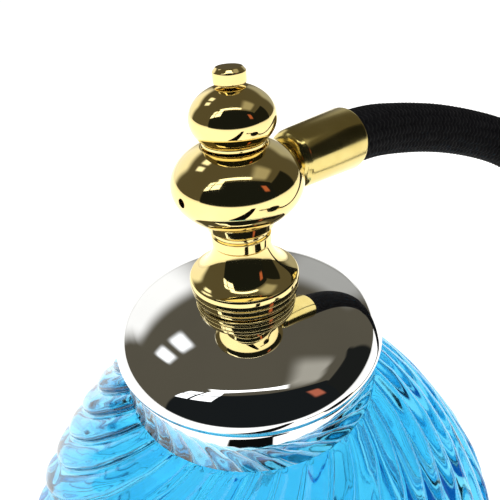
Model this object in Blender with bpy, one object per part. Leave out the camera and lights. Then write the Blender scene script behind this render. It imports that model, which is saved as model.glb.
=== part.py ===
"""Bulb atomizer perfume bottle: a swirl-ribbed glass bottle with a chromed collar and a brass spray head.

Units are metres, +Z is up, and the origin is the centre of the bottle's underside.
The head's port, its ferrule and the start of the hose point along HOSE_YAW, and the nozzle is opposite.
"""
import math

import bmesh
import bpy
import numpy as np
from mathutils import Matrix, Vector

MM = 0.001

# Bottle
SHOULDER_TOP = 59.6 * MM            # height of the glass ledge under the collar
SHOULDER_RADIUS = 20.4 * MM
BELLY = 29.0 * MM                   # height of the widest level, where the crests reach 43.5 mm
NECK_TOP = 68.0 * MM
NECK_RADIUS = 14.8 * MM
MOUTH_RADIUS = 10.5 * MM
RIBS = 32
RIB_DEPTH = 1.3 * MM
POINTS_PER_RIB = 3
RIB_TWIST = math.radians(-62)       # from the ledge to the widest level, clockwise from above

# Collar
COLLAR_RADIUS = 21.05 * MM
COLLAR_WIDEST = 68.8 * MM
DOME_BASE = 69.08 * MM              # level from which the crown's ellipse rises
DOME_HEIGHT = 7.2 * MM
COLLAR_FOOT = 60.0 * MM
COLLAR_HOLE = 6.0 * MM
SHEET = 1.0 * MM                    # thickness of the collar's metal

# Spray head
HEAD_BASE = 76.05 * MM              # underside of the foot
FOOT_RADIUS = 8.3 * MM
BELL_FOOT = (8.05, 79.6)            # ends of the bell, as radius and height in millimetres
BELL_NECK = (4.15, 84.6)
PORT_HEIGHT = 94.05 * MM            # centre of the large ball
BALL_RADIUS = 9.1 * MM
BALL_HALF_HEIGHT = 6.1 * MM
SMALL_BALL_RADIUS = 5.65 * MM
SMALL_BALL_HALF_HEIGHT = 4.2 * MM
SMALL_BALL_HEIGHT = 102.8 * MM
SPLIT = 99.2 * MM                   # top face of the head body, under the finial
HEAD_BORE = 3.0 * MM
NIPPLE_RADIUS = 5.4 * MM
KNOB_RADIUS = 2.1 * MM
KNOB_TOP = 109.0 * MM
HOSE_YAW = math.radians(38)

# Hose and bulb
HOSE_RADIUS = 4.3 * MM
FERRULE_RADIUS = 4.95 * MM
FERRULE_MOUTH = 21.6 * MM           # distance of the ferrule's mouth from the head's axis
SOCKET_DEPTH = 2.3 * MM             # how deep the hose sits in a ferrule
BULB_X = 95.5 * MM
BULB_Z = 18.5 * MM
BULB_MOUTH_Y = -18.0 * MM           # mouth of the bulb's ferrule
BULB_RADIUS = 17.6 * MM
BULB_START = 14.0 * MM              # distances along the bulb's axis, from its ferrule's mouth
BULB_END = 62.0 * MM

ROUND = 24                          # sides of a turned piece
SMALL_ROUND = 18
TINY_ROUND = 12

COLOURS = {                         # base colour, roughness, metallic
    "glass": ((0.06, 0.42, 0.75), 0.05, 0.0),
    "chrome": ((0.85, 0.85, 0.86), 0.05, 1.0),
    "gold": ((0.85, 0.62, 0.25), 0.08, 1.0),
    "brass": ((0.72, 0.55, 0.25), 0.30, 1.0),
    "white_plastic": ((0.85, 0.85, 0.82), 0.45, 0.0),
    "clear_plastic": ((0.80, 0.84, 0.86), 0.20, 0.0),
    "black_rubber": ((0.02, 0.02, 0.02), 0.60, 0.0),
    "black_thread": ((0.015, 0.015, 0.017), 0.80, 0.0),
}


def clear_scene():
    for old in list(bpy.data.objects):
        bpy.data.objects.remove(old)


def finish(name):
    colour, roughness, metallic = COLOURS[name]
    material = bpy.data.materials.get(name)
    if material is None:
        material = bpy.data.materials.new(name)
        material.use_nodes = True
        shader = material.node_tree.nodes["Principled BSDF"]
        shader.inputs["Base Color"].default_value = (*colour, 1.0)
        shader.inputs["Roughness"].default_value = roughness
        shader.inputs["Metallic"].default_value = metallic
    return material


def add_object(name, bm, colour):
    bmesh.ops.remove_doubles(bm, verts=bm.verts, dist=1e-6)
    bmesh.ops.recalc_face_normals(bm, faces=bm.faces)
    mesh = bpy.data.meshes.new(name)
    bm.to_mesh(mesh)
    bm.free()
    mesh.shade_smooth()
    mesh.set_sharp_from_angle(angle=math.radians(35))
    material = finish(colour).copy()
    material.name = name
    mesh.materials.append(material)
    piece = bpy.data.objects.new(name, mesh)
    bpy.context.collection.objects.link(piece)
    return piece


def arc(centre, radii, start, end, steps):
    """Points (radius, height) along an elliptical arc, with angles in degrees from the +radius direction."""
    angles = np.radians(np.linspace(start, end, steps))
    return [(centre[0] + radii[0] * math.cos(a), centre[1] + radii[1] * math.sin(a)) for a in angles]


def turned(name, outline, colour, sides=ROUND, millimetres=True):
    """A solid of revolution about local Z. An outline that meets the axis starts and ends on it."""
    scale = MM if millimetres else 1.0
    bm = bmesh.new()
    verts = [bm.verts.new((r * scale, 0, z * scale)) for r, z in outline]
    edges = [bm.edges.new(pair) for pair in zip(verts, verts[1:])]
    if outline[0][0] > 0:
        edges.append(bm.edges.new((verts[-1], verts[0])))
    bmesh.ops.spin(bm, geom=verts + edges, cent=(0, 0, 0), axis=(0, 0, 1), angle=2 * math.pi, steps=sides,
                   use_merge=True)
    return add_object(name, bm, colour)


def cutter(name, radius, start, end, axis_matrix):
    """A cylinder along local Z, used only to cut a hole."""
    bm = bmesh.new()
    bmesh.ops.create_cone(bm, cap_ends=True, segments=TINY_ROUND, radius1=radius, radius2=radius,
                          depth=end - start, matrix=Matrix.Translation((0, 0, (start + end) / 2)))
    piece = add_object(name, bm, "brass")
    piece.matrix_world = axis_matrix
    piece.hide_render = True
    piece.display_type = "WIRE"
    return piece


def cut(piece, tool):
    hole = piece.modifiers.new(tool.name, "BOOLEAN")
    hole.operation = "DIFFERENCE"
    hole.solver = "EXACT"
    hole.object = tool


def axis_frame(origin, direction):
    """The matrix that takes local Z to a direction, from a given origin."""
    turn = Vector((0, 0, 1)).rotation_difference(Vector(direction))
    return Matrix.Translation(origin) @ turn.to_matrix().to_4x4()


def port_frame():
    return axis_frame((0, 0, PORT_HEIGHT), (math.cos(HOSE_YAW), math.sin(HOSE_YAW), 0))


def nozzle_frame():
    return axis_frame((0, 0, PORT_HEIGHT), (-math.cos(HOSE_YAW), -math.sin(HOSE_YAW), 0))


def bulb_frame():
    return axis_frame((BULB_X, BULB_MOUTH_Y, BULB_Z), (0, -1, 0))


# ---- bottle ----

def glass_outline():
    """Smooth outer wall from the ledge down to the foot ring, as (radius, height)."""
    rim = (SHOULDER_RADIUS, SHOULDER_TOP)
    shoulder = [(24.5 * MM, 55.0 * MM), (29.5 * MM, 49.5 * MM), (34.8 * MM, 44.0 * MM),
                (39.4 * MM, 38.5 * MM)]
    belly = arc((30.5 * MM, BELLY), (13.0 * MM, 13.0 * MM), 25, -45, 4)
    foot = [(35.0 * MM, 10.0 * MM), (30.5 * MM, 1.0 * MM)]
    return [rim] + shoulder + belly + foot


def rib_phase(height):
    """How far the ribs have swirled at a height."""
    drop = (SHOULDER_TOP - height) / (SHOULDER_TOP - BELLY)
    return RIB_TWIST * drop ** 0.9 if drop > 0 else 0.0


def glass_rings():
    """Rings of the glass from the foot's underside up the outside, over the mouth and down the inside."""
    sides = RIBS * POINTS_PER_RIB
    rings = []
    for radius, height in reversed(glass_outline()):
        fade = min(1.0, (height - 1.0 * MM) / (6.0 * MM), (SHOULDER_TOP - height) / (3.0 * MM))
        rings.append((radius, height, RIB_DEPTH * max(fade, 0.0)))
    plain = [(15.9 * MM, SHOULDER_TOP + 0.1 * MM), (NECK_RADIUS, 61.2 * MM), (NECK_RADIUS, NECK_TOP),
             (MOUTH_RADIUS, NECK_TOP), (MOUTH_RADIUS, 61.0 * MM), (18.2 * MM, 56.4 * MM),
             (36.0 * MM, 38.0 * MM), (39.6 * MM, BELLY), (36.5 * MM, 18.5 * MM), (28.0 * MM, 6.0 * MM)]
    rings += [(radius, height, 0.0) for radius, height in plain]
    steps = np.arange(sides)
    result = []
    for radius, height, depth in rings:
        crest = 0.5 + 0.5 * np.cos(2 * math.pi * steps / POINTS_PER_RIB)
        radii = radius - depth * (1 - crest)
        angles = 2 * math.pi * steps / sides + rib_phase(height)
        result.append([(r * math.cos(a), r * math.sin(a), height) for r, a in zip(radii, angles)])
    return result


def glass_bottle():
    bm = bmesh.new()
    rings = [[bm.verts.new(point) for point in ring] for ring in glass_rings()]
    foot = [bm.verts.new((v.co.x * 0.96, v.co.y * 0.96, 0.0)) for v in rings[0]]
    rings.insert(0, foot)
    sides = len(foot)
    for low, high in zip(rings, rings[1:]):
        for i in range(sides):
            j = (i + 1) % sides
            bm.faces.new((low[i], low[j], high[j], high[i]))
    bm.faces.new(rings[0])
    bm.faces.new(rings[-1])
    return add_object("glass_bottle", bm, "glass")


# ---- collar ----

def dome(radius, height, start, end, steps):
    """Part of the crown's ellipse, with its angles measured from the widest level up."""
    return arc((0, DOME_BASE), (radius, height), start, end, steps)


def dome_angle_at(radius, dome_radius):
    return math.degrees(math.acos(radius / dome_radius))


def collar_cap():
    """Pressed cap: a crown, a roll that turns down into a bullnose, an undercut and a straight skirt."""
    r = COLLAR_RADIUS
    skirt = r - 0.25 * MM
    inner = r - SHEET
    outside = [(skirt, COLLAR_FOOT), (skirt, COLLAR_FOOT + 6.0 * MM), (r - 1.1 * MM, COLLAR_FOOT + 6.4 * MM)]
    outside += arc((r - 2.2 * MM, COLLAR_WIDEST), (2.2 * MM, 2.2 * MM), -60, 26, 5)
    outside += arc((r - 6.66 * MM, COLLAR_WIDEST - 2.18 * MM), (7.16 * MM, 7.16 * MM), 38, 61, 3)
    outside += dome(r, DOME_HEIGHT, 39, dome_angle_at(COLLAR_HOLE, r), 6)
    inside = dome(inner, DOME_HEIGHT - SHEET, dome_angle_at(COLLAR_HOLE, inner), 20, 5)
    inside += [(skirt - SHEET, COLLAR_FOOT + 8.0 * MM), (skirt - SHEET, COLLAR_FOOT)]
    return turned("collar_cap", outside + inside, "chrome", 36, millimetres=False)


def collar_liner():
    """Threaded plastic liner that grips the glass neck inside the collar."""
    threads = []
    for turn in range(3):
        base = 66.4 - 2.2 * turn
        threads += [(15.6, base + 0.9), (15.2, base + 0.3), (15.6, base - 0.3)]
    outline = [(18.4, 60.6), (18.4, 70.2), (17.6, 71.0), (5.8, 71.0), (5.8, 69.2), (15.6, 69.2)]
    return turned("collar_liner", outline + threads + [(15.6, 60.6)], "white_plastic")


def neck_gasket():
    return turned("neck_gasket", [(14.4, 68.3), (14.4, 68.9), (10.8, 68.9), (10.8, 68.3)], "black_rubber")


def head_seal():
    return turned("head_seal", [(8.4, 71.3), (8.4, 72.4), (5.9, 72.4), (5.9, 71.3)], "black_rubber")


# ---- siphon and nipple ----

def siphon_tube():
    outline = [(1.6, 8.0), (1.6, 74.0), (1.0, 74.0), (1.0, 8.0)]
    return turned("siphon_tube", outline, "clear_plastic", SMALL_ROUND)


def head_nipple():
    """Male thread under the foot, which screws into the liner's hole."""
    outline = [(4.9, 66.5)]
    for turn in range(4):
        base = 67.1 + 1.5 * turn
        outline += [(4.9, base), (5.35, base + 0.5), (5.35, base + 0.8), (4.9, base + 1.2)]
    outline += [(NIPPLE_RADIUS / MM, 74.2), (NIPPLE_RADIUS / MM, 77.4), (1.95, 77.4), (1.95, 66.5)]
    return turned("head_nipple", outline, "brass", SMALL_ROUND)


# ---- spray head ----

def foot_outline():
    """The foot's side from its underside up, with two fine grooves and a crease under the bell."""
    r = FOOT_RADIUS / MM
    base = HEAD_BASE / MM
    return [(r - 0.7, base), (r - 0.4, base + 0.15), (r - 0.3, base + 0.6), (r - 0.45, base + 0.7),
            (r - 0.2, base + 0.85), (r - 0.1, base + 1.7), (r - 0.3, base + 1.85), (r - 0.05, base + 2.0),
            (r, base + 2.7), (r - 0.1, base + 3.3)]


def bell_outline():
    """The flare from the foot to the neck: between a straight cone and a quarter of an ellipse."""
    low, high = BELL_FOOT, BELL_NECK
    result = []
    for t in np.linspace(0, 1, 7):
        turn = t * math.pi / 2
        inwards = 0.65 * math.sin(turn) + 0.35 * t
        upwards = 0.65 * (1 - math.cos(turn)) + 0.35 * t
        result.append((low[0] + (high[0] - low[0]) * inwards, low[1] + (high[1] - low[1]) * upwards))
    return result


def head_body():
    """Turned in one piece: foot, bell, neck ring and large ball, with an axial bore."""
    ring = [(4.35, 84.8), (4.35, 86.3), (4.0, 86.5), (4.05, 87.2), (4.9, 87.7)]
    ball = arc((0, PORT_HEIGHT / MM), (BALL_RADIUS / MM, BALL_HALF_HEIGHT / MM), -54, 60, 10)
    top = [(4.35, SPLIT / MM), (HEAD_BORE / MM, SPLIT / MM)]
    socket_radius = NIPPLE_RADIUS / MM + 0.3
    socket = [(HEAD_BORE / MM, 77.7), (socket_radius, 77.7), (socket_radius, HEAD_BASE / MM + 0.45)]
    piece = turned("head_body", foot_outline() + bell_outline() + ring + ball + top + socket, "gold", 32)
    cut(piece, cutter("port_bore", 2.6 * MM, 0, 14 * MM, port_frame()))
    cut(piece, cutter("jet_chamber", 1.5 * MM, 0, 7.5 * MM, nozzle_frame()))
    cut(piece, cutter("nozzle_hole", 0.65 * MM, 7.0 * MM, 12 * MM, nozzle_frame()))
    return piece


def liquid_tube():
    outline = [(1.6, 74.4), (1.6, 88.0), (1.0, 88.0), (1.0, 74.4)]
    return turned("liquid_tube", outline, "brass", SMALL_ROUND)


def valve_seat():
    outline = [(2.7, 88.4), (2.7, 89.9), (1.3, 89.9), (0.8, 89.3), (0.8, 88.4)]
    return turned("valve_seat", outline, "brass", SMALL_ROUND)


def nozzle_jet():
    outline = [(1.2, 3.4), (1.2, 6.6), (0.8, 7.1), (0.3, 7.1), (0.3, 3.4)]
    piece = turned("nozzle_jet", outline, "brass", TINY_ROUND)
    piece.matrix_world = nozzle_frame()
    return piece


def valve_stem():
    outline = [(0, 89.6), (0.55, 90.2), (1.0, 90.9), (1.0, 104.2), (0.7, 104.5), (0, 104.5)]
    return turned("valve_stem", outline, "brass", TINY_ROUND)


def stem_seal():
    outline = arc((2.0, 96.6), (0.65, 0.55), 0, 330, 12)
    return turned("stem_seal", outline, "black_rubber", SMALL_ROUND)


def finial_ball():
    """Upper half of the ring, the cove and the small ball, with a spigot into the head body."""
    spigot = [(2.6, 97.6), (2.6, 99.5)]
    ring = [(4.3, 99.5), (4.3, 100.0), (4.05, 100.15)]
    ball = arc((0, SMALL_BALL_HEIGHT / MM), (SMALL_BALL_RADIUS / MM, SMALL_BALL_HALF_HEIGHT / MM), -38, 68, 9)
    crown = [(0.9, 106.75), (0.9, 105.8), (1.35, 105.3), (1.35, 97.6)]
    return turned("finial_ball", spigot + ring + ball + crown, "gold")


def finial_knob():
    r = KNOB_RADIUS / MM
    top = KNOB_TOP / MM
    outline = [(0, 106.0), (0.6, 106.0), (0.6, 107.05), (r - 0.1, 107.05), (r, 107.15), (r, top - 0.5),
               (r - 0.45, top), (0, top)]
    return turned("finial_knob", outline, "gold", SMALL_ROUND)


def air_nipple():
    """Brass tube from the ball's port into the ferrule, with barbs for the hose's lining."""
    outline = [(1.3, 3.4), (2.3, 3.4), (2.3, 12.0)]
    for barb in (12.5, 15.0):
        outline += [(2.0, barb), (2.0, barb + 0.8), (2.3, barb + 1.6)]
    outline += [(2.0, 19.0), (1.3, 19.0)]
    piece = turned("air_nipple", outline, "brass", SMALL_ROUND)
    piece.matrix_world = port_frame()
    return piece


def hose_ferrule():
    """Slightly tapered sleeve with a rounded shoulder against the ball."""
    mouth = FERRULE_MOUTH / MM
    socket = mouth - SOCKET_DEPTH / MM
    r = FERRULE_RADIUS / MM
    outline = [(2.6, 8.95), (3.3, 9.1), (4.0, 9.5), (4.4, 10.2), (4.5, 11.0), (r, mouth - 0.4),
               (r - 0.1, mouth), (r - 0.35, mouth), (r - 0.35, socket), (2.6, socket)]
    piece = turned("hose_ferrule", outline, "gold", ROUND)
    piece.matrix_world = port_frame()
    return piece


# ---- hose ----

# Route of the hose's middle from ferrule to ferrule, in millimetres
HOSE_ROUTE = [
    (15.4, 12.03, 94.05), (17.5, 13.67, 94.0), (20.5, 16.0, 93.8), (27.2, 20.8, 92.5),
    (35.0, 25.2, 90.6), (43.3, 28.7, 88.0), (52.0, 30.8, 84.5), (60.5, 31.6, 79.2),
    (68.2, 30.9, 72.2), (74.8, 29.0, 64.3), (80.2, 26.6, 55.6), (84.8, 23.6, 46.8),
    (88.8, 19.6, 38.2), (91.9, 14.0, 30.6), (94.1, 6.2, 24.6), (95.2, -3.0, 20.7),
    (95.5, -10.5, 18.9), (95.5, -16.0, 18.5), (95.5, -20.0, 18.5),
]
HOSE_END = (0, -1, 0)


def smooth_route(points, start, end, spacing):
    """Points at an even spacing along the cubic spline through a route, with given end directions."""
    p = np.array(points, float)
    knots = np.concatenate([[0], np.cumsum(np.linalg.norm(np.diff(p, axis=0), axis=1))])
    h = np.diff(knots)
    n = len(p)
    a = np.zeros((n, n))
    b = np.zeros((n, 3))
    a[0, 0] = a[-1, -1] = 1
    b[0] = np.array(start) / np.linalg.norm(start)
    b[-1] = np.array(end) / np.linalg.norm(end)
    for i in range(1, n - 1):
        a[i, i - 1] = 1 / h[i - 1]
        a[i, i] = 2 / h[i - 1] + 2 / h[i]
        a[i, i + 1] = 1 / h[i]
        b[i] = 3 * ((p[i] - p[i - 1]) / h[i - 1] ** 2 + (p[i + 1] - p[i]) / h[i] ** 2)
    slopes = np.linalg.solve(a, b)
    fine = []
    for i in range(n - 1):
        for t in np.linspace(0, 1, 40, endpoint=False):
            along = (2 * t**3 - 3 * t**2 + 1) * p[i] + (3 * t**2 - 2 * t**3) * p[i + 1]
            swing = (t**3 - 2 * t**2 + t) * slopes[i] + (t**3 - t**2) * slopes[i + 1]
            fine.append(along + h[i] * swing)
    fine = np.array(fine + [p[-1]])
    reach = np.concatenate([[0], np.cumsum(np.linalg.norm(np.diff(fine, axis=0), axis=1))])
    stops = np.linspace(0, reach[-1], int(round(reach[-1] / spacing)) + 1)
    return np.stack([np.interp(stops, reach, fine[:, k]) for k in range(3)], axis=1)


def hose():
    heading = (math.cos(HOSE_YAW), math.sin(HOSE_YAW), 0)
    middle = smooth_route(HOSE_ROUTE, heading, HOSE_END, 5.0) * MM
    curve = bpy.data.curves.new("hose", "CURVE")
    curve.dimensions = "3D"
    curve.bevel_depth = HOSE_RADIUS
    curve.bevel_resolution = 3
    curve.use_fill_caps = True
    spline = curve.splines.new("POLY")
    spline.points.add(len(middle) - 1)
    for point, place in zip(spline.points, middle):
        point.co = (*place, 1.0)
    curve.materials.append(finish("black_thread"))
    piece = bpy.data.objects.new("hose", curve)
    bpy.context.collection.objects.link(piece)
    return piece


# ---- bulb ----

def on_bulb_axis(name, outline, colour, sides=SMALL_ROUND):
    """A turned piece on the bulb's axis; heights in the outline run from the bulb ferrule's mouth."""
    piece = turned(name, outline, colour, sides)
    piece.matrix_world = bulb_frame()
    return piece


def bulb_ferrule():
    socket = SOCKET_DEPTH / MM
    outline = [(4.6, 0), (4.9, 0), (5.0, 0.3), (5.0, 5.6), (5.2, 6.6), (6.0, 8.0), (6.3, 9.2), (6.3, 12.8),
               (5.9, 13.1), (4.9, 13.1), (4.9, 6.5), (2.2, 6.5), (2.2, socket), (4.6, socket)]
    return on_bulb_axis("bulb_ferrule", outline, "gold", ROUND)


def outlet_barb():
    outline = [(1.2, 2.6), (1.7, 2.6), (1.7, 7.0), (1.9, 7.4), (1.9, 15.0), (1.2, 15.0)]
    return on_bulb_axis("outlet_barb", outline, "brass")


def bulb_profile(grow, steps, reach=75):
    """The bulb's round part, grown outwards by a distance in millimetres, out to an angle each way."""
    start, end = BULB_START / MM, BULB_END / MM
    half = (end - start) / 2
    return arc((0, start + half), (BULB_RADIUS / MM + grow, half + grow + 1.2), -reach, reach, steps)


def rubber_bulb():
    neck, bore = 4.6, 2.2
    outside = [(neck, 7.0)] + bulb_profile(0, 10) + [(neck, 66.0)]
    inside = [(bore, 66.0), (bore, 61.4)] + list(reversed(bulb_profile(-1.8, 7)))
    inside += [(bore, 14.6), (bore, 7.0)]
    return on_bulb_axis("rubber_bulb", outside + inside, "black_rubber", 24)


def bulb_net():
    """Knitted cover over the rubber, gathered at both necks."""
    outside = [(5.6, 13.5)] + bulb_profile(0.8, 10, 70) + [(5.6, 65.6)]
    inside = [(5.0, 65.6)] + list(reversed(bulb_profile(0.35, 10, 70))) + [(5.0, 13.5)]
    return on_bulb_axis("bulb_net", outside + inside, "black_thread", 24)


def inlet_seat():
    """Brass insert in the far neck: a chamber for the valve disc behind a small seat hole."""
    outline = [(1.5, 60.0), (1.9, 60.0), (1.9, 66.3), (4.5, 66.3), (4.5, 67.2), (0.7, 67.2), (0.7, 65.2),
               (1.5, 65.2)]
    return on_bulb_axis("inlet_seat", outline, "brass")


def inlet_disc():
    outline = [(0, 62.6), (1.15, 62.6), (1.15, 63.2), (0, 63.2)]
    return on_bulb_axis("inlet_disc", outline, "black_rubber", TINY_ROUND)


def tassel_cap():
    """Bell over the bulb's far neck; the tassel's head is tied into its open side."""
    outline = [(4.9, 66.5), (6.0, 66.5), (6.3, 66.9), (6.3, 68.6), (5.6, 69.6), (5.2, 71.0), (5.5, 72.2),
               (5.7, 73.6), (5.5, 75.4), (5.1, 75.8), (4.6, 75.8), (4.6, 70.4), (0.8, 70.4), (0.8, 68.4),
               (4.9, 68.4)]
    return on_bulb_axis("tassel_cap", outline, "gold", ROUND)


def tassel():
    """Plain solid of the thread tassel: it leaves the cap level, sags and lies on the table."""
    stations = [(70.8, 18.5, 4.1, 4.1), (76.0, 18.4, 4.2, 4.2), (82.0, 17.4, 4.6, 4.4),
                (89.0, 14.2, 5.4, 4.6), (96.0, 10.0, 6.6, 4.6), (103.0, 6.8, 8.0, 4.4),
                (110.0, 5.0, 9.2, 4.2), (119.0, 4.4, 10.2, 3.9)]
    bm = bmesh.new()
    rings = []
    for along, height, half_width, half_height in stations:
        ring = []
        for i in range(TINY_ROUND):
            angle = 2 * math.pi * i / TINY_ROUND
            ring.append(bm.verts.new((BULB_X + half_width * MM * math.cos(angle), BULB_MOUTH_Y - along * MM,
                                      (height + half_height * math.sin(angle)) * MM)))
        rings.append(ring)
    for near, far in zip(rings, rings[1:]):
        for i in range(TINY_ROUND):
            j = (i + 1) % TINY_ROUND
            bm.faces.new((near[i], near[j], far[j], far[i]))
    bm.faces.new(rings[0])
    bm.faces.new(rings[-1])
    return add_object("tassel", bm, "black_thread")


def build():
    clear_scene()
    for make in (glass_bottle, collar_cap, collar_liner, neck_gasket, head_seal, siphon_tube, head_nipple,
                 head_body, liquid_tube, valve_seat, nozzle_jet, valve_stem, stem_seal, finial_ball,
                 finial_knob, air_nipple, hose_ferrule, hose, bulb_ferrule, outlet_barb, rubber_bulb,
                 bulb_net, inlet_seat, inlet_disc, tassel_cap, tassel):
        make()


build()
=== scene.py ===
"""Looks of the bulb atomizer perfume bottle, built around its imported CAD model.

Lengths in outlines are millimetres; everything that reaches Blender is in metres.
An outline's heights run from the underside of the CAD node that the piece stands for.
"""
import math

import bmesh
import bpy
import numpy as np
from mathutils import Euler, Matrix, Vector


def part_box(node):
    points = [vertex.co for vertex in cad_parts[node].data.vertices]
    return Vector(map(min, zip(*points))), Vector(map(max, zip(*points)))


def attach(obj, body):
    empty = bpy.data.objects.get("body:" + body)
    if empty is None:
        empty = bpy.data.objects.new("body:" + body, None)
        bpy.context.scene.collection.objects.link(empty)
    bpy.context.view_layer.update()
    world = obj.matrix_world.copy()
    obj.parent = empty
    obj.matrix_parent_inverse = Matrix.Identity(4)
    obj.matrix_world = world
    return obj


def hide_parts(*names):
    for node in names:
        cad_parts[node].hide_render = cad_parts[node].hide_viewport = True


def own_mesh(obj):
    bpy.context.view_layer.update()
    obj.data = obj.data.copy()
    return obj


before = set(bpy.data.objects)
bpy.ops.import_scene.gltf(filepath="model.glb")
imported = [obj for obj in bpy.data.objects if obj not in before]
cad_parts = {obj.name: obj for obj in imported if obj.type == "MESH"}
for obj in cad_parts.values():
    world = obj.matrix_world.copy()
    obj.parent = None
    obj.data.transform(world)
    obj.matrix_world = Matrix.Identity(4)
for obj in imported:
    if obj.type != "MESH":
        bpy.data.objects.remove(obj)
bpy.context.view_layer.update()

MM = 0.001

SMOOTH_TURN = math.cos(math.radians(12))   # below this turn an outline counts as a smooth curve
SHARP_EDGE = math.radians(50)              # above this turn the shading shows an edge
BORE_SIDES = 48
ROUNDNESS = 0.65                           # share of the ellipse in the flare of the head

# Camera
CAMERA_PLACE = (0.00108, -0.06218, 0.12212)
CAMERA_PITCH = math.radians(32.22)
CAMERA_ROLL = math.radians(3.83)
LENS = 36.0
SENSOR = 36.0

# Glass
RIBS = 32
RIB_SAMPLES = 14
RIB_DEPTH = 1.7
RIB_SHARPNESS = 2.6                 # a higher number gives broader crests and narrower grooves
RIB_RUN_OUT = 6.0                   # height over which the ribs die away above the foot
RIB_START = 0.5                     # height over which they rise under the ledge
SHALLOW_RADIUS = 12.0               # nearer the axis than this, the ribs shrink with the radius
INNER_RIBS = 0.35                   # depth of the ribs inside, as a share of those outside
RIB_TWIST = math.radians(-62)
LEDGE = 59.6                        # height where the ribs start, under the collar
BELLY = 29.0                        # height of the widest level

# Hose and its knitted sleeve
HOSE_DIAMETER = 0.0086
HOSE_SPACING = 0.23                 # between the sleeve's rings of points
HOSE_WALES = 16                     # columns of stitches around the hose
COURSE = 0.95                       # pitch of the rows of stitches
STITCH = 0.00055                    # depth of the sleeve's relief
CHEVRON_LEAN = 0.45                 # how far a stitch leans along the hose, in rows
ROW_SHARE = 0.7                     # share of the relief that the rows take, and the columns the rest
ROUTE_SAMPLES = 60                  # points along each span of the route before it is spaced evenly
SAMPLES_PER_WALE = 5
HOSE_ROUTE = [
    (0.0154, 0.01203, 0.09405), (0.0175, 0.01367, 0.0940), (0.0205, 0.0160, 0.0938),
    (0.0272, 0.0208, 0.0925), (0.0350, 0.0252, 0.0906), (0.0433, 0.0287, 0.0880),
    (0.0520, 0.0308, 0.0845), (0.0605, 0.0316, 0.0792), (0.0682, 0.0309, 0.0722),
    (0.0748, 0.0290, 0.0643), (0.0802, 0.0266, 0.0556), (0.0848, 0.0236, 0.0468),
    (0.0888, 0.0196, 0.0382), (0.0919, 0.0140, 0.0306), (0.0941, 0.0062, 0.0246),
    (0.0952, -0.0030, 0.0207), (0.0955, -0.0105, 0.0189), (0.0955, -0.0160, 0.0185),
    (0.0955, -0.0200, 0.0185),
]


# Bulb, its knitted cover and the tassel
BULB_START = 14.0
BULB_HALF_LENGTH = 24.0
BULB_HALF_WIDTH = 17.6
COVER_WALES = 44
COVER_COURSE = 1.5
COVER_STITCH = 0.35
TASSEL_START = 70.8
TASSEL_END = 119.0
TASSEL_THREADS = 120
THREAD_RADIUS = 0.36

# Studio
FLOOR_HALF = 4.0
FLOOR_DROP = 0.0002
CEILING = (0.098, 0.088, 0.064, 1.0)
WINDOW_LIGHT = (0.96, 0.98, 1.0)
THROUGH_GLASS = (0.01, 0.15, 0.46, 1.0)   # what a sight line through the glass meets off the floor


# ---- places that come from the CAD frame ----

def base_of(node):
    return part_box(node)[0].z


def middle_of(node):
    low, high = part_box(node)
    return (low + high) / 2


def axis_frame(origin, direction):
    """The matrix that takes local Z to a direction, from a given origin."""
    turn = Vector((0, 0, 1)).rotation_difference(Vector(direction))
    return Matrix.Translation(origin) @ turn.to_matrix().to_4x4()


PORT_HEIGHT = middle_of("hose_ferrule").z
PORT_DIRECTION = Vector((*middle_of("hose_ferrule").xy, 0)).normalized()
PORT = axis_frame((0, 0, PORT_HEIGHT), PORT_DIRECTION)
NOZZLE = axis_frame((0, 0, PORT_HEIGHT), -PORT_DIRECTION)
BULB_AXIS = middle_of("bulb_ferrule")
BULB_MOUTH = Vector((BULB_AXIS.x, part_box("bulb_ferrule")[1].y, BULB_AXIS.z))
BULB = axis_frame(BULB_MOUTH, (0, -1, 0))


# ---- materials ----

def new_material(name, colour, roughness, metallic=0.0):
    material = bpy.data.materials.new(name)
    material.use_nodes = True
    shader = material.node_tree.nodes["Principled BSDF"]
    shader.inputs["Base Color"].default_value = (*colour, 1.0)
    shader.inputs["Roughness"].default_value = roughness
    shader.inputs["Metallic"].default_value = metallic
    return material, shader


def noise(material, scale, stretch=(1, 1, 1), detail=4.0):
    """Noise over the piece's own coordinates, in metres; scale is features per metre."""
    nodes, links = material.node_tree.nodes, material.node_tree.links
    place = nodes.new("ShaderNodeTexCoord")
    mapping = nodes.new("ShaderNodeMapping")
    mapping.inputs["Scale"].default_value = stretch
    texture = nodes.new("ShaderNodeTexNoise")
    texture.inputs["Scale"].default_value = scale
    texture.inputs["Detail"].default_value = detail
    links.new(place.outputs["Object"], mapping.inputs["Vector"])
    links.new(mapping.outputs["Vector"], texture.inputs["Vector"])
    return texture.outputs["Fac"]


def spread(material, value, low, high, start=0.3, end=0.7):
    """Maps a value from start..end to low..high."""
    node = material.node_tree.nodes.new("ShaderNodeMapRange")
    for socket, number in zip(("From Min", "From Max", "To Min", "To Max"), (start, end, low, high)):
        node.inputs[socket].default_value = number
    material.node_tree.links.new(value, node.inputs["Value"])
    return node.outputs["Result"]


def blend_colour(material, shader, value, first, second):
    node = material.node_tree.nodes.new("ShaderNodeMix")
    node.data_type = "RGBA"
    node.inputs["A"].default_value = (*first, 1.0)
    node.inputs["B"].default_value = (*second, 1.0)
    material.node_tree.links.new(value, node.inputs["Factor"])
    material.node_tree.links.new(node.outputs["Result"], shader.inputs["Base Color"])


def bump(material, shader, value, strength, distance):
    node = material.node_tree.nodes.new("ShaderNodeBump")
    node.inputs["Strength"].default_value = strength
    node.inputs["Distance"].default_value = distance
    material.node_tree.links.new(value, node.inputs["Height"])
    material.node_tree.links.new(node.outputs["Normal"], shader.inputs["Normal"])


def roughen(material, shader, value, low, high, start=0.3, end=0.7):
    result = spread(material, value, low, high, start, end)
    material.node_tree.links.new(result, shader.inputs["Roughness"])


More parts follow.
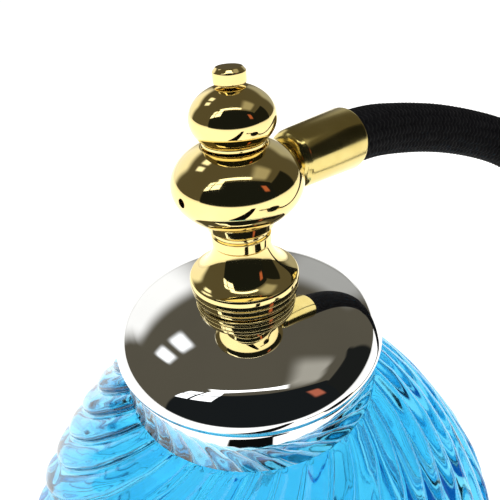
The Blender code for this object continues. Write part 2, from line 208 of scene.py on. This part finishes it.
def polished_gold():
    material, shader = new_material("polished_gold", (0.93, 0.76, 0.34), 0.04, 1.0)
    film = noise(material, 140)
    blend_colour(material, shader, spread(material, film, 0, 1), (0.95, 0.79, 0.36), (0.90, 0.71, 0.30))
    roughen(material, shader, noise(material, 320, detail=6), 0.025, 0.075)
    bump(material, shader, noise(material, 60, (1, 1, 90)), 0.02, 0.00002)
    return material


def satin_gold():
    material, shader = new_material("satin_gold", (0.86, 0.66, 0.27), 0.16, 1.0)
    blend_colour(material, shader, spread(material, noise(material, 180), 0, 1), (0.84, 0.69, 0.27),
                 (0.72, 0.57, 0.19))
    roughen(material, shader, noise(material, 500, (1, 1, 0.2), 6), 0.11, 0.22)
    bump(material, shader, noise(material, 80, (1, 1, 60)), 0.05, 0.00003)
    return material


def raw_brass():
    material, shader = new_material("raw_brass", (0.70, 0.53, 0.25), 0.3, 1.0)
    blend_colour(material, shader, spread(material, noise(material, 260), 0, 1), (0.76, 0.58, 0.27),
                 (0.58, 0.42, 0.20))
    roughen(material, shader, noise(material, 900, detail=6), 0.22, 0.42)
    bump(material, shader, noise(material, 90, (1, 1, 50)), 0.12, 0.00004)
    return material


def chrome_plate():
    material, shader = new_material("chrome_plate", (0.90, 0.90, 0.89), 0.02, 1.0)
    film = noise(material, 110, detail=5)
    blend_colour(material, shader, spread(material, film, 0, 1), (0.92, 0.92, 0.91), (0.87, 0.87, 0.87))
    roughen(material, shader, noise(material, 420, detail=7), 0.008, 0.045, 0.45, 0.8)
    bump(material, shader, noise(material, 45, detail=2), 0.01, 0.00004)
    return material


def blue_glass():
    """Tinted glass, a little soft, whose blue deepens with the length of glass a sight line crosses."""
    material, shader = new_material("blue_glass", (0.34, 0.82, 0.97), 0.06)
    shader.inputs["Transmission Weight"].default_value = 1.0
    shader.inputs["IOR"].default_value = 1.42
    roughen(material, shader, noise(material, 240, detail=5), 0.055, 0.095, 0.4, 0.8)
    bump(material, shader, noise(material, 60, detail=1), 0.012, 0.0002)
    depth = material.node_tree.nodes.new("ShaderNodeVolumeAbsorption")
    depth.inputs["Color"].default_value = (0.05, 0.72, 0.91, 1.0)
    depth.inputs["Density"].default_value = 85.0
    output = material.node_tree.nodes["Material Output"]
    material.node_tree.links.new(depth.outputs["Volume"], output.inputs["Volume"])
    return material


def black_thread():
    """Matt mercerised cotton: fine fibres and a faint sheen."""
    material, shader = new_material("black_thread", (0.005, 0.005, 0.006), 0.8)
    shader.inputs["Specular IOR Level"].default_value = 0.16
    shader.inputs["Sheen Weight"].default_value = 0.03
    shader.inputs["Sheen Roughness"].default_value = 0.4
    blend_colour(material, shader, spread(material, noise(material, 900), 0, 1), (0.002, 0.002, 0.003),
                 (0.006, 0.006, 0.007))
    roughen(material, shader, noise(material, 1500), 0.65, 0.9)
    bump(material, shader, noise(material, 5000, detail=3), 0.5, 0.00008)
    return material


def black_rubber():
    material, shader = new_material("black_rubber", (0.02, 0.02, 0.021), 0.5)
    blend_colour(material, shader, spread(material, noise(material, 300), 0, 1), (0.016, 0.016, 0.017),
                 (0.034, 0.033, 0.032))
    roughen(material, shader, noise(material, 700), 0.42, 0.66)
    bump(material, shader, noise(material, 2200), 0.2, 0.00006)
    return material


def white_plastic():
    material, shader = new_material("white_plastic", (0.82, 0.81, 0.77), 0.4)
    shader.inputs["Subsurface Weight"].default_value = 0.15
    shader.inputs["Subsurface Radius"].default_value = (0.002, 0.002, 0.0015)
    blend_colour(material, shader, spread(material, noise(material, 200), 0, 1), (0.84, 0.83, 0.80),
                 (0.77, 0.76, 0.71))
    roughen(material, shader, noise(material, 800), 0.32, 0.5)
    bump(material, shader, noise(material, 1800), 0.1, 0.00005)
    return material


def clear_plastic():
    material, shader = new_material("clear_plastic", (0.93, 0.96, 0.97), 0.12)
    shader.inputs["Transmission Weight"].default_value = 0.9
    shader.inputs["IOR"].default_value = 1.45
    roughen(material, shader, noise(material, 400, (1, 1, 0.1)), 0.08, 0.2)
    bump(material, shader, noise(material, 300, (1, 1, 0.1)), 0.1, 0.00005)
    return material


FINISHES = {
    "gold_plate": polished_gold(), "satin_gold": satin_gold(), "raw_brass": raw_brass(),
    "chrome_plate": chrome_plate(), "blue_glass": blue_glass(), "black_thread": black_thread(),
    "black_rubber": black_rubber(), "white_plastic": white_plastic(), "clear_plastic": clear_plastic(),
}


# ---- building pieces ----

def link(name, mesh):
    piece = bpy.data.objects.new(name, mesh)
    bpy.context.scene.collection.objects.link(piece)
    return piece


def settle(piece, finish, body, *nodes):
    """Gives a piece its finish and the body it rides on, and lets it stand for CAD nodes."""
    piece.data.materials.append(FINISHES[finish])
    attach(piece, body)
    if nodes:
        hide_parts(*nodes)
    return piece


def skin(name, rows, hollow=False):
    """A closed mesh through rows of points, each a loop; a hollow one joins its last row to its first."""
    rows = np.asarray(rows, float)
    count, around = rows.shape[:2]
    index = np.arange(count * around).reshape(count, around)
    if hollow:
        index = np.vstack([index, index[:1]])
    ahead = np.roll(index, -1, axis=1)
    quads = np.stack([index[:-1], ahead[:-1], ahead[1:], index[1:]], axis=-1).reshape(-1, 4).tolist()
    if not hollow:
        quads += [index[0][::-1].tolist(), index[-1].tolist()]
    mesh = bpy.data.meshes.new(name)
    mesh.from_pydata(rows.reshape(-1, 3).tolist(), [], quads)
    bm = bmesh.new()
    bm.from_mesh(mesh)
    bmesh.ops.remove_doubles(bm, verts=bm.verts, dist=1e-8)
    bmesh.ops.dissolve_degenerate(bm, edges=bm.edges, dist=1e-8)
    bmesh.ops.recalc_face_normals(bm, faces=bm.faces)
    bm.to_mesh(mesh)
    bm.free()
    mesh.shade_smooth()
    return link(name, mesh)


def rounded(outline, radius, steps=4):
    """An outline whose sharp corners give way to short curves, up to a radius from the corner.

    One more point on each side of a curve keeps the shading of the straight runs flat.
    """
    points = np.array(outline, float)
    result = [points[0]]
    for before, corner, after in zip(points, points[1:], points[2:]):
        back, on = before - corner, after - corner
        reach_back, reach_on = np.linalg.norm(back), np.linalg.norm(on)
        if back @ on < -SMOOTH_TURN * reach_back * reach_on:
            result.append(corner)
            continue
        start = corner + back * min(0.5, radius / reach_back)
        end = corner + on * min(0.5, radius / reach_on)
        result.append(corner + back * min(0.5, 2 * radius / reach_back))
        for t in np.linspace(0, 1, steps):
            result.append((1 - t) ** 2 * start + 2 * t * (1 - t) * corner + t ** 2 * end)
        result.append(corner + on * min(0.5, 2 * radius / reach_on))
    result.append(points[-1])
    return np.array(result)


def arc(centre, radii, start, end, steps):
    """Points along an elliptical arc, with angles in degrees from the +radius direction."""
    angles = np.radians(np.linspace(start, end, steps))
    return [(centre[0] + radii[0] * math.cos(a), centre[1] + radii[1] * math.sin(a)) for a in angles]


def turned(name, outline, base=0.0, sides=128, edge=0.12, place=None):
    """A turned piece: outline in millimetres above base, with its edges eased."""
    outline = rounded(outline, edge)
    angles = np.linspace(0, 2 * math.pi, sides, endpoint=False)
    rows = np.stack([np.outer(outline[:, 0], np.cos(angles)), np.outer(outline[:, 0], np.sin(angles)),
                     np.repeat(outline[:, 1:], sides, axis=1)], axis=-1) * MM
    rows[:, :, 2] += base
    piece = skin(name, rows, hollow=outline[0][0] > 0)
    piece.data.set_sharp_from_angle(angle=SHARP_EDGE)
    if place is not None:
        piece.matrix_world = place
    return piece


def bored(piece, radius, start, end, place):
    """Cuts a round hole along local Z of a place, and keeps the result."""
    bm = bmesh.new()
    middle = Matrix.Translation((0, 0, (start + end) / 2 * MM))
    bmesh.ops.create_cone(bm, cap_ends=True, segments=BORE_SIDES, radius1=radius * MM,
                          radius2=radius * MM, depth=(end - start) * MM, matrix=place @ middle)
    mesh = bpy.data.meshes.new("bore")
    bm.to_mesh(mesh)
    bm.free()
    tool = link("bore", mesh)
    hole = piece.modifiers.new("bore", "BOOLEAN")
    hole.operation = "DIFFERENCE"
    hole.solver = "EXACT"
    hole.object = tool
    bpy.context.view_layer.update()
    result = bpy.data.meshes.new_from_object(piece.evaluated_get(bpy.context.evaluated_depsgraph_get()))
    piece.modifiers.clear()
    piece.data = result
    result.shade_smooth()
    result.set_sharp_from_angle(angle=SHARP_EDGE)
    bpy.data.objects.remove(tool)
    return piece


# ---- camera ----

def camera():
    data = bpy.data.cameras.new("camera")
    data.lens = LENS
    data.sensor_width = SENSOR
    data.clip_start = 0.001
    piece = bpy.data.objects.new("camera", data)
    turn = Euler((math.pi / 2 - CAMERA_PITCH, 0, 0)).to_matrix() @ Matrix.Rotation(-CAMERA_ROLL, 3, "Z")
    piece.matrix_world = Matrix.Translation(CAMERA_PLACE) @ turn.to_4x4()
    bpy.context.scene.collection.objects.link(piece)
    bpy.context.scene.camera = piece


# ---- hose ----

def smooth_route(points, start, end, spacing):
    """Points at an even spacing along the cubic spline through a route, with given end directions."""
    p = np.array(points, float)
    h = np.linalg.norm(np.diff(p, axis=0), axis=1)
    n = len(p)
    a = np.eye(n)
    b = np.zeros((n, 3))
    b[0] = start
    b[-1] = end
    for i in range(1, n - 1):
        a[i, i - 1:i + 2] = 1 / h[i - 1], 2 / h[i - 1] + 2 / h[i], 1 / h[i]
        b[i] = 3 * ((p[i] - p[i - 1]) / h[i - 1] ** 2 + (p[i + 1] - p[i]) / h[i] ** 2)
    slopes = np.linalg.solve(a, b)
    fine = []
    for i in range(n - 1):
        for t in np.linspace(0, 1, ROUTE_SAMPLES, endpoint=False):
            along = (2 * t**3 - 3 * t**2 + 1) * p[i] + (3 * t**2 - 2 * t**3) * p[i + 1]
            swing = (t**3 - 2 * t**2 + t) * slopes[i] + (t**3 - t**2) * slopes[i + 1]
            fine.append(along + h[i] * swing)
    fine = np.array(fine + [p[-1]])
    reach = np.concatenate([[0], np.cumsum(np.linalg.norm(np.diff(fine, axis=0), axis=1))])
    stops = np.linspace(0, reach[-1], int(round(reach[-1] / spacing)) + 1)
    return np.stack([np.interp(stops, reach, fine[:, k]) for k in range(3)], axis=1)


def travelling_frames(middle):
    """Two directions square to a line at each of its points, which don't twist along it."""
    ahead = np.gradient(middle, axis=0)
    ahead /= np.linalg.norm(ahead, axis=1)[:, None]
    side = np.cross(ahead[0], (0, 0, 1.0))
    sides = []
    for direction in ahead:
        side = side - direction * (side @ direction)
        side /= np.linalg.norm(side)
        sides.append(side)
    sides = np.array(sides)
    return sides, np.cross(ahead, sides)


def knit(along, around, wales, course):
    """Relief of plain knitting, 0 to 1: rows of small chevrons with grooves between their columns."""
    wale = around * wales
    lean = 2 * np.abs(wale - np.floor(wale) - 0.5)
    row = np.abs(np.sin(math.pi * (along / course + CHEVRON_LEAN * lean)))
    groove = np.abs(np.sin(math.pi * wale)) ** 0.5
    return ROW_SHARE * row ** 0.7 + (1 - ROW_SHARE) * groove


def hose():
    heading = np.array(PORT_DIRECTION)
    middle = smooth_route(HOSE_ROUTE, heading, (0, -1, 0), HOSE_SPACING * MM)
    sides, ups = travelling_frames(middle)
    columns = HOSE_WALES * SAMPLES_PER_WALE
    around = np.arange(columns) / columns
    along = np.arange(len(middle)) * HOSE_SPACING
    relief = knit(along[:, None], around[None, :], HOSE_WALES, COURSE)
    radius = HOSE_DIAMETER / 2 - STITCH + STITCH * relief
    angle = 2 * math.pi * around
    rows = (middle[:, None] + sides[:, None] * (radius * np.cos(angle))[..., None]
            + ups[:, None] * (radius * np.sin(angle))[..., None])
    piece = settle(skin("knitted_hose", rows), "black_thread", "head", "hose")
    return piece


# ---- bottle ----

def rib_phase(height):
    """How far the ribs have swirled at a height."""
    drop = np.clip((LEDGE - height) / (LEDGE - BELLY), 0, None)
    return RIB_TWIST * drop ** 0.9


def glass():
    """Swirl-ribbed wall, with the ribs fainter inside, and a plain neck."""
    outside = [(20.4, 59.6), (24.8, 56.4), (29.9, 51.6), (35.0, 45.6), (39.5, 39.0)]
    outside += arc((30.5, 29.0), (13.0, 13.0), 25, -45, 9)
    outside += [(35.0, 10.0), (30.5, 1.0), (29.3, 0.0), (24.0, 0.0), (22.5, 1.6), (0.0, 2.4)]
    inside = [(0.0, 6.4), (22.0, 6.6), (28.0, 8.0), (36.5, 18.5), (39.6, 29.0), (36.0, 38.0),
              (18.2, 56.4), (10.5, 61.0), (10.5, 68.0), (14.8, 68.0), (14.8, 61.2), (15.9, 59.7),
              (20.4, 59.6)]
    outer = dense(rounded(outside, 3.5, 6), 0.8)
    inner = dense(rounded(inside, 1.2, 4), 1.2)
    sides = RIBS * RIB_SAMPLES
    step = np.arange(sides)
    u = 2 * (step % RIB_SAMPLES) / RIB_SAMPLES - 1
    groove = np.abs(u) ** RIB_SHARPNESS
    rows = []
    for outline, ribbed in ((outer, 1.0), (inner, INNER_RIBS)):
        for radius, height in outline:
            fade = np.clip(min((height - 1.0) / RIB_RUN_OUT, (LEDGE - height) / RIB_START), 0, 1)
            depth = RIB_DEPTH * ribbed * fade * min(1.0, radius / SHALLOW_RADIUS)
            r = (radius - depth * groove) * MM
            a = 2 * math.pi * step / sides + rib_phase(height)
            rows.append(np.stack([r * np.cos(a), r * np.sin(a), np.full(sides, height * MM)], axis=-1))
    piece = skin("ribbed_glass", rows, hollow=True)
    return settle(piece, "blue_glass", "bottle", "glass_bottle")


def dense(outline, spacing):
    """The same outline with points no further apart than a spacing."""
    result = [outline[0]]
    for start, end in zip(outline, outline[1:]):
        count = max(1, int(math.ceil(np.linalg.norm(end - start) / spacing)))
        for t in np.linspace(0, 1, count + 1)[1:]:
            result.append(start + (end - start) * t)
    return np.array(result)


def collar():
    """Domed chrome cap: a shallow crown, a rolled edge, a bullnose and a straight skirt."""
    radius, widest, skirt = 21.05, 8.8, 20.5
    crown = (0.0, widest + 0.28)
    outside = [(skirt, 0.0), (skirt, 7.0)]
    outside += arc((radius - 2.2, widest), (2.2, 2.2), -44, 26, 12)
    outside += arc((radius - 6.66, widest - 2.18), (7.16, 7.16), 29, 61, 9)
    outside += arc(crown, (21.05, 7.2), 32.5, 73.4, 24)
    inside = arc(crown, (20.05, 6.2), 72.5, 20, 14)
    inside += [(skirt - 1.0, 8.0), (skirt - 1.0, 0.0)]
    piece = turned("collar_shell", outside + inside, base_of("collar_cap"), 192, 0.08)
    return settle(piece, "chrome_plate", "bottle", "collar_cap")


# ---- spray head ----

def bell():
    """The flare from the foot to the neck: between a straight cone and a quarter of an ellipse."""
    foot, neck = np.array((8.05, 3.55)), np.array((4.15, 8.55))
    t = np.linspace(0, 1, 20)
    ways = np.stack([ROUNDNESS * np.sin(t * math.pi / 2) + (1 - ROUNDNESS) * t,
                     ROUNDNESS * (1 - np.cos(t * math.pi / 2)) + (1 - ROUNDNESS) * t], axis=1)
    return (foot + (neck - foot) * ways).tolist()


def head():
    """Foot with two fine grooves, bell, neck ring and large ball, bored for the hose and the nozzle."""
    foot = [(6.6, 0.25), (7.6, 0.0), (7.88, 0.1), (7.98, 0.6), (7.84, 0.68), (7.84, 0.76),
            (8.08, 0.86), (8.2, 1.74), (8.04, 1.83), (8.04, 1.91), (8.24, 2.0), (8.3, 2.7), (8.2, 3.3)]
    ring = [(4.35, 8.75), (4.35, 10.25), (4.0, 10.45), (4.0, 10.9), (4.15, 11.3), (4.9, 11.65)]
    ball = arc((0, 18.0), (9.1, 6.1), -54, 60, 48)
    top = [(4.35, 23.15), (3.0, 23.15), (3.0, 1.65), (5.7, 1.65), (5.7, 0.5), (6.6, 0.25)]
    piece = turned("spray_head", foot + bell() + ring + ball + top, base_of("head_body"), 192, 0.09)
    bored(piece, 2.6, 0, 14, PORT)
    bored(piece, 0.65, 7, 12, NOZZLE)
    return settle(piece, "gold_plate", "head", "head_body")


def finial():
    spigot = [(2.0, 0.0), (2.6, 0.0), (2.6, 1.9)]
    ring = [(4.3, 1.9), (4.3, 2.4), (4.05, 2.55)]
    ball = arc((0, 5.2), (5.65, 4.2), -38, 68, 40)
    crown = [(0.9, 9.15), (0.9, 8.2), (1.35, 7.7), (1.35, 0.0), (2.0, 0.0)]
    piece = turned("small_ball", spigot + ring + ball + crown, base_of("finial_ball"), 160)
    return settle(piece, "gold_plate", "finial", "finial_ball")


def knob():
    outline = [(0, 0), (0.6, 0), (0.6, 1.05), (2.0, 1.05), (2.1, 1.15), (2.1, 2.5), (1.65, 3.0),
               (0, 3.0)]
    piece = turned("top_knob", outline, base_of("finial_knob"), 96, 0.1)
    return settle(piece, "gold_plate", "finial", "finial_knob")


def hose_ferrule():
    outline = [(3.4, 8.95), (3.7, 9.1), (4.1, 9.5), (4.4, 10.2), (4.5, 11.0), (4.95, 21.2), (4.9, 21.6),
               (4.65, 21.6), (4.65, 19.3), (2.6, 19.3), (2.6, 8.95), (3.4, 8.95)]
    piece = turned("hose_sleeve", outline, sides=128, place=PORT)
    return settle(piece, "satin_gold", "head", "hose_ferrule")


# ---- bulb ----

def bulb_ferrule():
    outline = [(4.75, 0), (4.92, 0), (5.0, 0.3), (5.0, 1.0), (4.85, 1.2), (5.0, 1.4), (5.0, 5.6),
               (5.2, 6.6), (6.0, 8.0), (6.3, 9.2), (6.3, 12.8), (6.0, 13.1), (4.9, 13.1), (4.9, 6.5),
               (2.2, 6.5), (2.2, 2.3), (4.65, 2.3), (4.65, 0), (4.75, 0)]
    piece = turned("bulb_sleeve", outline, sides=128, place=BULB)
    return settle(piece, "satin_gold", "head", "bulb_ferrule")


def bulb_outline(grow, steps, reach=75):
    middle = (0, BULB_START + BULB_HALF_LENGTH)
    radii = (BULB_HALF_WIDTH + grow, BULB_HALF_LENGTH + grow + 1.2)
    return arc(middle, radii, -reach, reach, steps)


def squeezed(piece):
    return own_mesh(piece)


def rubber():
    outside = [(2.3, 7.0), (4.6, 7.0)] + bulb_outline(-0.1, 30) + [(4.6, 66.0), (2.2, 66.0), (2.2, 61.4)]
    inside = list(reversed(bulb_outline(-1.8, 16))) + [(2.2, 14.6), (2.2, 7.0), (2.3, 7.0)]
    piece = turned("rubber_ball", outside + inside, sides=96)
    piece.data.transform(BULB)
    return squeezed(settle(piece, "black_rubber", "head", "rubber_bulb"))


def knitted_cover():
    """Knitted cover over the rubber; its rows follow the profile and its columns widen at the middle."""
    profile = dense(rounded([(5.5, 13.4)] + bulb_outline(0.75, 40, 70) + [(5.5, 65.7)], 1.0), 0.28)
    travel = np.concatenate([[0], np.cumsum(np.linalg.norm(np.diff(profile, axis=0), axis=1))])
    columns = COVER_WALES * SAMPLES_PER_WALE
    around = np.arange(columns) / columns
    relief = knit(travel[:, None], around[None, :], COVER_WALES, COVER_COURSE)
    radius = (profile[:, :1] - COVER_STITCH * (1 - relief)) * MM
    angle = 2 * math.pi * around
    outer = np.stack([radius * np.cos(angle), radius * np.sin(angle),
                      np.repeat(profile[:, 1:], columns, axis=1) * MM], axis=-1)
    lining = np.array([(5.0, 65.6)] + list(reversed(bulb_outline(0.2, 12, 70))) + [(5.0, 13.5)])
    inner = np.stack([np.outer(lining[:, 0], np.cos(angle)), np.outer(lining[:, 0], np.sin(angle)),
                      np.repeat(lining[:, 1:], columns, axis=1)], axis=-1) * MM
    piece = skin("knitted_cover", np.concatenate([outer, inner]), hollow=True)
    piece.data.transform(BULB)
    return squeezed(settle(piece, "black_thread", "head", "bulb_net"))


def tube_rows(line, radius, sides=8):
    """Rings of points around a line, in metres; radius is a number or one for each point."""
    line = np.asarray(line, float)
    across, up = travelling_frames(line)
    angle = 2 * math.pi * np.arange(sides) / sides
    radius = np.broadcast_to(radius, len(line))[:, None, None]
    return line[:, None] + radius * (across[:, None] * np.cos(angle)[None, :, None]
                                     + up[:, None] * np.sin(angle)[None, :, None])


def winding(name, start, turns, radius, cord):
    """A cord wound round the bulb's axis, from a distance along it."""
    steps = int(turns * 40)
    t = np.linspace(0, 2 * math.pi * turns, steps)
    climb = start + t / (2 * math.pi) * 2 * cord
    line = np.stack([radius * np.cos(t), radius * np.sin(t), climb], axis=1) * MM
    piece = skin(name, tube_rows(line, cord * MM, 10))
    piece.matrix_world = BULB
    return settle(piece, "black_thread", "head")


def tassel_cap():
    outline = [(5.5, 66.5), (6.0, 66.5), (6.3, 66.9), (6.3, 68.6), (5.6, 69.6), (5.2, 71.0), (5.5, 72.2),
               (5.7, 73.6), (5.5, 75.4), (5.1, 75.8), (4.6, 75.8), (4.6, 70.4), (0.8, 70.4), (0.8, 68.4),
               (4.9, 68.4), (4.9, 66.5), (5.5, 66.5)]
    piece = turned("tassel_bell", outline, sides=128, place=BULB)
    return settle(piece, "satin_gold", "head", "tassel_cap")


def thread_line(random, number):
    """The middle of one of the tassel's threads, which sags to the table and fans out there."""
    along = np.array([TASSEL_START, 76.0, 82.0, 89.0, 96.0, 103.0, 110.0, TASSEL_END])
    height = np.array([18.5, 18.4, 17.4, 14.2, 10.0, 6.8, 5.0, 4.4])
    half_width = np.array([3.9, 4.0, 4.3, 5.1, 6.3, 7.7, 8.9, 9.8])
    half_height = np.array([3.9, 4.0, 4.1, 4.2, 4.2, 4.1, 3.9, 3.6])
    share = math.sqrt((number + 0.5) / TASSEL_THREADS)
    turn = number * math.pi * (3 - math.sqrt(5))
    end = TASSEL_END - 3.0 * random.random()
    s = np.linspace(TASSEL_START, end, 34)
    pitch = 2.2 + random.random()
    wave = 0.28 * np.sin(s / pitch + 6 * random.random()) * np.clip((s - 76) / 12, 0, 1)
    x = np.interp(s, along, half_width) * share * math.cos(turn) + wave
    z = np.interp(s, along, height) + np.interp(s, along, half_height) * share * math.sin(turn)
    return np.stack([BULB_AXIS.x + x * MM, BULB_MOUTH.y - s * MM, np.maximum(z, 0.45) * MM], axis=1)


def tassel():
    """All the threads tied into the cap, as one mesh."""
    random = np.random.default_rng(7)
    rows, faces, total = [], [], 0
    for number in range(TASSEL_THREADS):
        ring = tube_rows(thread_line(random, number), THREAD_RADIUS * MM, 6)
        count, around = ring.shape[:2]
        index = total + np.arange(count * around).reshape(count, around)
        ahead = np.roll(index, -1, axis=1)
        sides = np.stack([index[:-1], ahead[:-1], ahead[1:], index[1:]], axis=-1)
        faces += sides.reshape(-1, 4).tolist()
        faces += [index[0][::-1].tolist(), index[-1].tolist()]
        rows.append(ring.reshape(-1, 3))
        total += count * around
    mesh = bpy.data.meshes.new("tassel_threads")
    mesh.from_pydata(np.concatenate(rows).tolist(), [], faces)
    mesh.shade_smooth()
    return settle(link("tassel_threads", mesh), "black_thread", "head", "tassel")


# ---- CAD pieces that keep their shape ----

def dress_cad():
    """Gives the hidden CAD pieces, which no piece stands for, their finishes."""
    finishes = {
        "white_plastic": ("collar_liner",),
        "black_rubber": ("neck_gasket", "head_seal", "stem_seal", "inlet_disc"),
        "clear_plastic": ("siphon_tube",),
        "raw_brass": ("head_nipple", "liquid_tube", "valve_seat", "nozzle_jet", "valve_stem",
                      "air_nipple", "outlet_barb", "inlet_seat"),
    }
    for finish, nodes in finishes.items():
        for node in nodes:
            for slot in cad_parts[node].material_slots:
                slot.material = FINISHES[finish]


# ---- studio ----


def glow(name, colour, strength, fade):
    """Plain emission that fades out towards the card's edges; fade is the share of the card it takes."""
    material = bpy.data.materials.new(name)
    material.use_nodes = True
    nodes, links = material.node_tree.nodes, material.node_tree.links
    nodes.clear()
    emission = nodes.new("ShaderNodeEmission")
    emission.inputs["Color"].default_value = (*colour, 1.0)
    emission.inputs["Strength"].default_value = strength
    output = nodes.new("ShaderNodeOutputMaterial")
    place = nodes.new("ShaderNodeTexCoord")
    axes = nodes.new("ShaderNodeSeparateXYZ")
    links.new(place.outputs["UV"], axes.inputs["Vector"])
    product = nodes.new("ShaderNodeMath")
    product.operation = "MULTIPLY"
    for index, axis in enumerate("XY"):
        wave = nodes.new("ShaderNodeMath")
        wave.operation = "PINGPONG"
        wave.inputs[1].default_value = 0.5
        links.new(axes.outputs[axis], wave.inputs[0])
        edge = nodes.new("ShaderNodeMapRange")
        edge.interpolation_type = "SMOOTHSTEP"
        edge.inputs["From Max"].default_value = fade
        links.new(wave.outputs["Value"], edge.inputs["Value"])
        links.new(edge.outputs["Result"], product.inputs[index])
    clear = nodes.new("ShaderNodeBsdfTransparent")
    mix = nodes.new("ShaderNodeMixShader")
    links.new(product.outputs["Value"], mix.inputs["Fac"])
    links.new(clear.outputs["BSDF"], mix.inputs[1])
    links.new(emission.outputs["Emission"], mix.inputs[2])
    links.new(mix.outputs["Shader"], output.inputs["Surface"])
    return material


def card(name, centre, width, height, facing, colour, strength, fade, turn=0.0):
    """A flat card for the metal to reflect, hidden from the camera and from sight lines through glass.

    Turn spins it about its normal.
    """
    half_width, half_height = width / 2, height / 2
    corners = [(-half_width, -half_height, 0), (half_width, -half_height, 0),
               (half_width, half_height, 0), (-half_width, half_height, 0)]
    mesh = bpy.data.meshes.new(name)
    mesh.from_pydata(corners, [], [(0, 1, 2, 3)])
    layer = mesh.uv_layers.new(name="card")
    for loop, corner in zip(layer.data, ((0, 0), (1, 0), (1, 1), (0, 1))):
        loop.uv = corner
    piece = link(name, mesh)
    aim = Vector(facing).to_track_quat("Z", "Y").to_matrix() @ Matrix.Rotation(turn, 3, "Z")
    piece.matrix_world = Matrix.Translation(centre) @ aim.to_4x4()
    mesh.materials.append(glow(name, colour, strength, fade))
    piece.visible_camera = False
    piece.visible_transmission = False
    return piece


def floor():
    mesh = bpy.data.meshes.new("floor")
    half = FLOOR_HALF
    corners = [(-half, -half, 0), (half, -half, 0), (half, half, 0), (-half, half, 0)]
    mesh.from_pydata(corners, [], [(0, 1, 2, 3)])
    piece = link("floor", mesh)
    piece.location.z = -FLOOR_DROP
    material, shader = new_material("floor", (0.35, 0.35, 0.35), 0.7)
    shader.inputs["Emission Color"].default_value = (1.0, 1.0, 0.99, 1.0)
    shader.inputs["Emission Strength"].default_value = 1.0
    mesh.materials.append(material)


def window(name, centre, facing, columns, rows, pane, bar, strength, fade, turn=0.0):
    """A grid of bright panes in one plane, parted by bars; pane is one pane's width and height."""
    aim = Vector(facing).to_track_quat("Z", "Y").to_matrix() @ Matrix.Rotation(turn, 3, "Z")
    for column in range(columns):
        for row in range(rows):
            across = (column - (columns - 1) / 2) * (pane[0] + bar)
            up = (row - (rows - 1) / 2) * (pane[1] + bar)
            place = Vector(centre) + aim @ Vector((across, up, 0))
            card(f"{name}_{column}{row}", place, *pane, facing, WINDOW_LIGHT, strength, fade, turn)


def world_light():
    """A warm grey ceiling for reflections, blue for sight lines through the glass, white for the camera."""
    world = bpy.data.worlds.new("room")
    bpy.context.scene.world = world
    world.use_nodes = True
    nodes, links = world.node_tree.nodes, world.node_tree.links
    ceiling = nodes["Background"]
    ceiling.inputs["Color"].default_value = CEILING
    ceiling.inputs["Strength"].default_value = 1.0
    through = nodes.new("ShaderNodeBackground")
    through.inputs["Color"].default_value = THROUGH_GLASS
    plain = nodes.new("ShaderNodeBackground")
    plain.inputs["Color"].default_value = (1.0, 1.0, 1.0, 1.0)
    ray = nodes.new("ShaderNodeLightPath")
    shader = ceiling.outputs["Background"]
    for kind, background in (("Is Transmission Ray", through), ("Is Camera Ray", plain)):
        mix = nodes.new("ShaderNodeMixShader")
        links.new(ray.outputs[kind], mix.inputs["Fac"])
        links.new(shader, mix.inputs[1])
        links.new(background.outputs["Background"], mix.inputs[2])
        shader = mix.outputs["Shader"]
    links.new(shader, nodes["World Output"].inputs["Surface"])


def room():
    """Dark in front and to the right, a long light overhead, windows to the left, pale walls behind."""
    front, down, dark = (0, 1, 0), (0, 0, -1), (0.010, 0.012, 0.013)
    card("dark_front", (0.15, -0.62, 0.72), 2.9, 1.46, front, dark, 1.0, 0.04)
    card("dark_right", (1.25, -0.15, 0.55), 1.1, 1.1, (-1, 0, 0), (0.012, 0.013, 0.012), 1.0, 0.08)
    card("overhead_light", (-0.05, -0.50, 1.55), 1.30, 0.17, down, (1.0, 1.0, 0.98), 2.2, 0.1)
    card("grey_panel", (0.70, -0.12, 1.25), 0.80, 0.85, down, (0.42, 0.40, 0.34), 1.0, 0.3)
    window("front_window", (-0.84, -0.60, 1.26), front, 2, 2, (0.37, 0.44), 0.04, 2.0, 0.06)
    window("skylight", (-0.60, 0.42, 0.96), (0.6, -0.5, -0.55), 2, 1, (0.20, 0.30), 0.03, 1.5, 0.3, 0.35)
    card("warm_card", (0.78, -0.60, 0.68), 0.30, 0.50, front, (0.50, 0.14, 0.08), 1.0, 0.25)
    card("back_left_wall", (-0.60, 0.85, 0.35), 1.10, 1.00, (0.55, -0.9, 0), (1.0, 1.0, 0.98), 1.1, 0.3)
    card("back_right_wall", (0.45, 0.95, 0.35), 0.80, 0.90, (-0.45, -0.95, 0), (0.42, 0.42, 0.40), 1.0,
         0.3)
    # A dark strip lying on the floor in front, hidden from the camera, which only the metal's reflections
    # show
    card("dark_floor_strip", (0.05, -0.155, 0.001), 0.25, 0.034, (0, 0, 1), (0.004, 0.004, 0.004), 1.0, 0.04,
         -1.02)


def softbox():
    """A broad light from above, which lights cloth, glass and floor without showing in the metal."""
    data = bpy.data.lights.new("softbox", "AREA")
    data.shape = "RECTANGLE"
    data.size = 1.6
    data.size_y = 1.2
    data.energy = 22.0
    data.color = (1.0, 0.99, 0.97)
    piece = bpy.data.objects.new("softbox", data)
    tilt = Euler((-0.1, -0.15, 0)).to_matrix().to_4x4()
    piece.matrix_world = Matrix.Translation((-0.25, -0.15, 1.2)) @ tilt
    piece.visible_glossy = False
    piece.visible_camera = False
    bpy.context.scene.collection.objects.link(piece)


def build():
    camera()
    hose()
    glass()
    collar()
    head()
    finial()
    knob()
    hose_ferrule()
    bulb_ferrule()
    rubber()
    knitted_cover()
    winding("near_winding", 13.6, 2.5, 5.7, 0.45)
    winding("far_winding", 63.6, 2.5, 5.7, 0.45)
    tassel_cap()
    tassel()
    dress_cad()
    floor()
    world_light()
    room()
    softbox()
    bpy.context.scene.view_settings.view_transform = "Standard"


build()
